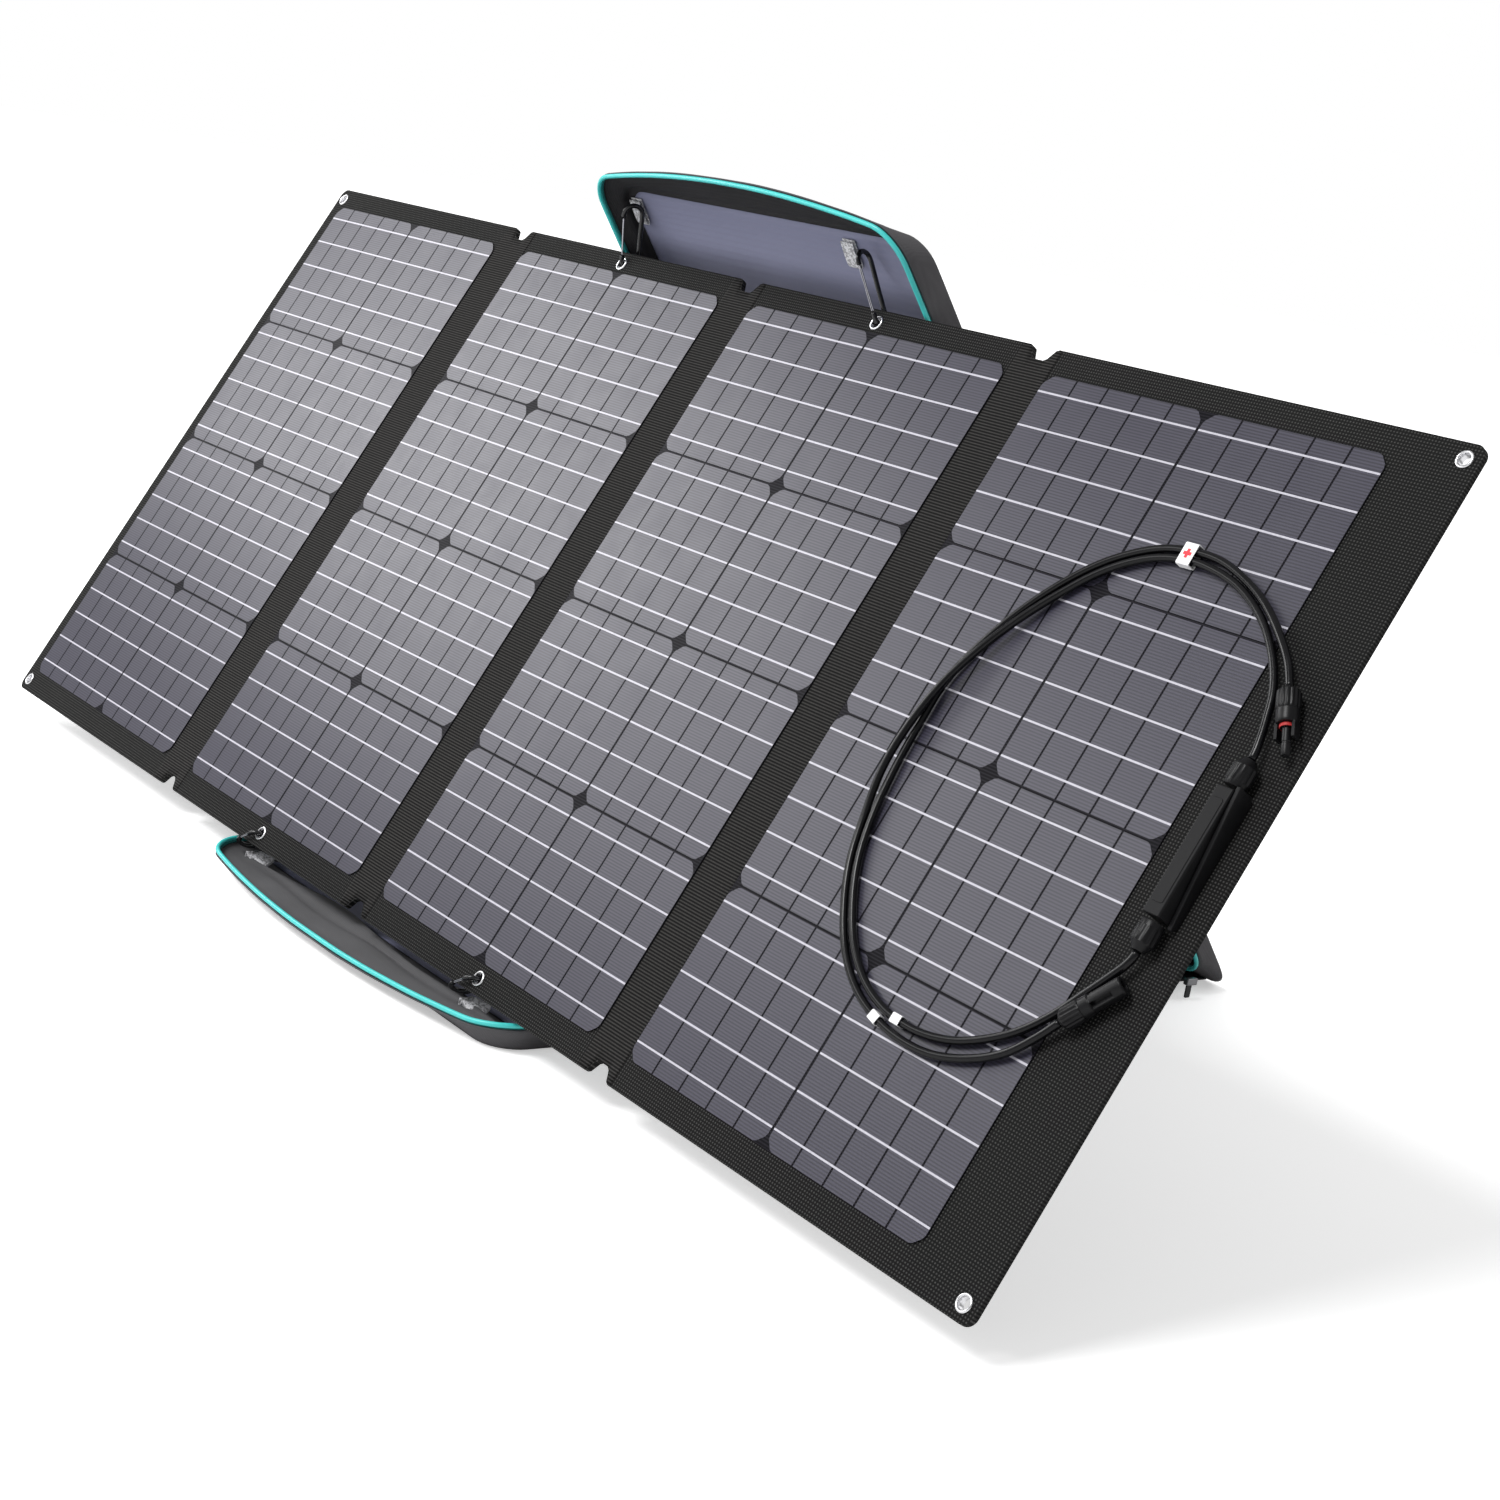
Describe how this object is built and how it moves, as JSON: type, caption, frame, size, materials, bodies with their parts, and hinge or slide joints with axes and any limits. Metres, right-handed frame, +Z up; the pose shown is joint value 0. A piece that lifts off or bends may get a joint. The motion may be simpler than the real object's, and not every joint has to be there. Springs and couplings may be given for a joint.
{
  "type": "folding solar panel",
  "caption": "Folding solar panel of cell-covered leaves on an A-frame made by its own opened carry case, with junction box, leads and snap hooks.",
  "frame": {"origin": "middle of the base of the standing assembly, on the ground", "axes": "+X along the panel's bottom edge to the viewer's right, +Y from the panel's front to the rear leg's foot, +Z up"},
  "size_m": [1.57, 0.8904, 0.6885],
  "materials": {
    "cloth": "coarse woven nylon, black",
    "cells": "satin laminate over silicon cells",
    "eyelet": "polished plated brass",
    "plastic": "moulded, fine texture",
    "lead": "glossy cable sheath",
    "tag": "white printed sleeve",
    "seal": "smooth seal ring",
    "case_fabric": "dark grey coated fabric",
    "lining": "blue-grey smooth lining",
    "piping": "satin teal edge piping",
    "webbing": "woven grey webbing",
    "hook": "black anodised, glossy",
    "gate": "polished wire",
    "zip_metal": "dark plated",
    "zip_pull": "moulded"
  },
  "bodies": {
    "ground_half": {"case_floor_shell": "case_fabric", "case_floor_lining": "lining", "case_floor_piping": "piping", "case_spine": "case_fabric", "loop_low_left": "webbing", "loop_low_right": "webbing", "zip_slider_left": "zip_metal", "zip_slider_right": "zip_metal"},
    "rear_leg": {"case_leg_shell": "case_fabric", "case_leg_lining": "lining", "case_leg_piping": "piping", "loop_top_left": "webbing", "loop_top_right": "webbing", "carry_handle": "webbing"},
    "panel": {"leaf_2_board": "cloth", "leaf_2_cells": "cells", "leaf_3_board": "cloth", "leaf_3_cells": "cells", "eyelet_top_left": "eyelet", "eyelet_top_right": "eyelet", "eyelet_low_left": "eyelet", "eyelet_low_right": "eyelet", "hook_top_left": "hook", "hook_top_right": "hook", "hook_low_left": "hook", "hook_low_right": "hook"},
    "leaf_1": {"leaf_1_board": "cloth", "leaf_1_cells": "cells", "eyelet_tl": "eyelet", "eyelet_bl": "eyelet"},
    "leaf_4": {"leaf_4_board": "cloth", "leaf_4_cells": "cells", "eyelet_tr": "eyelet", "eyelet_br": "eyelet", "box_body": "plastic", "box_cover": "plastic", "box_gland_upper": "plastic", "box_gland_lower": "plastic", "lead_upper": "lead", "lead_lower": "lead", "plug_pin_nut": "plastic", "plug_pin_body": "plastic", "plug_pin_seal": "seal", "plug_pin_contact": "plastic", "plug_socket_nut": "plastic", "plug_socket_body": "plastic", "tag_plus": "tag", "tag_small_outer": "tag", "tag_small_inner": "tag"},
    "gate_top_left": {"hook_gate_top_left": "gate"},
    "gate_top_right": {"hook_gate_top_right": "gate"},
    "gate_low_left": {"hook_gate_low_left": "gate"},
    "gate_low_right": {"hook_gate_low_right": "gate"},
    "zip_pull_left": {"zip_pull_left": "zip_pull"},
    "zip_pull_right": {"zip_pull_right": "zip_pull"}
  },
  "joints": [
    {"name": "rear_leg_fold", "type": "hinge", "parent": "ground_half", "child": "rear_leg", "pos_m": [0, 0.44523, 0.00223], "axis": [-1, 0, 0], "range_deg": [0, 125]},
    {"name": "panel_tilt", "type": "hinge", "parent": "ground_half", "child": "panel", "pos_m": [0, -0.39765, 0.02761], "axis": [1, 0, 0], "range_deg": [0, 28]},
    {"name": "leaf_1_fold", "type": "hinge", "parent": "panel", "child": "leaf_1", "pos_m": [-0.403, -0.24709, 0.31853], "axis": [0, 0.4772, 0.8788], "range_deg": [0, 174]},
    {"name": "leaf_4_fold", "type": "hinge", "parent": "panel", "child": "leaf_4", "pos_m": [0.363, -0.24709, 0.31853], "axis": [0, -0.4772, -0.8788], "range_deg": [0, 164]},
    {"name": "gate_top_left", "type": "hinge", "parent": "panel", "child": "gate_top_left", "pos_m": [-0.21325, -0.09879, 0.60366], "axis": [-0.9176, 0.1897, 0.3493], "range_deg": [0, 14], "stiffness_Nm_per_rad": 0.02, "springref_deg": -17.19},
    {"name": "gate_top_right", "type": "hinge", "parent": "panel", "child": "gate_top_right", "pos_m": [0.16264, -0.09888, 0.60378], "axis": [-0.8856, -0.2216, -0.4081], "range_deg": [0, 14], "stiffness_Nm_per_rad": 0.02, "springref_deg": -17.19},
    {"name": "gate_low_left", "type": "hinge", "parent": "panel", "child": "gate_low_left", "pos_m": [-0.22023, -0.4037, 0.0378], "axis": [0.5326, -0.4038, -0.7438], "range_deg": [0, 9], "stiffness_Nm_per_rad": 0.02, "springref_deg": -17.19},
    {"name": "gate_low_right", "type": "hinge", "parent": "panel", "child": "gate_low_right", "pos_m": [0.16977, -0.4037, 0.0378], "axis": [0.5326, -0.4038, -0.7438], "range_deg": [0, 9], "stiffness_Nm_per_rad": 0.02, "springref_deg": -17.19},
    {"name": "zip_pull_left", "type": "hinge", "parent": "ground_half", "child": "zip_pull_left", "pos_m": [-0.2573, 0.36996, 0.015], "axis": [0, 1, 0], "range_deg": [0, 80]},
    {"name": "zip_pull_right", "type": "hinge", "parent": "ground_half", "child": "zip_pull_right", "pos_m": [0.2493, 0.36996, 0.015], "axis": [0, -1, 0], "range_deg": [0, 80]}
  ]
}
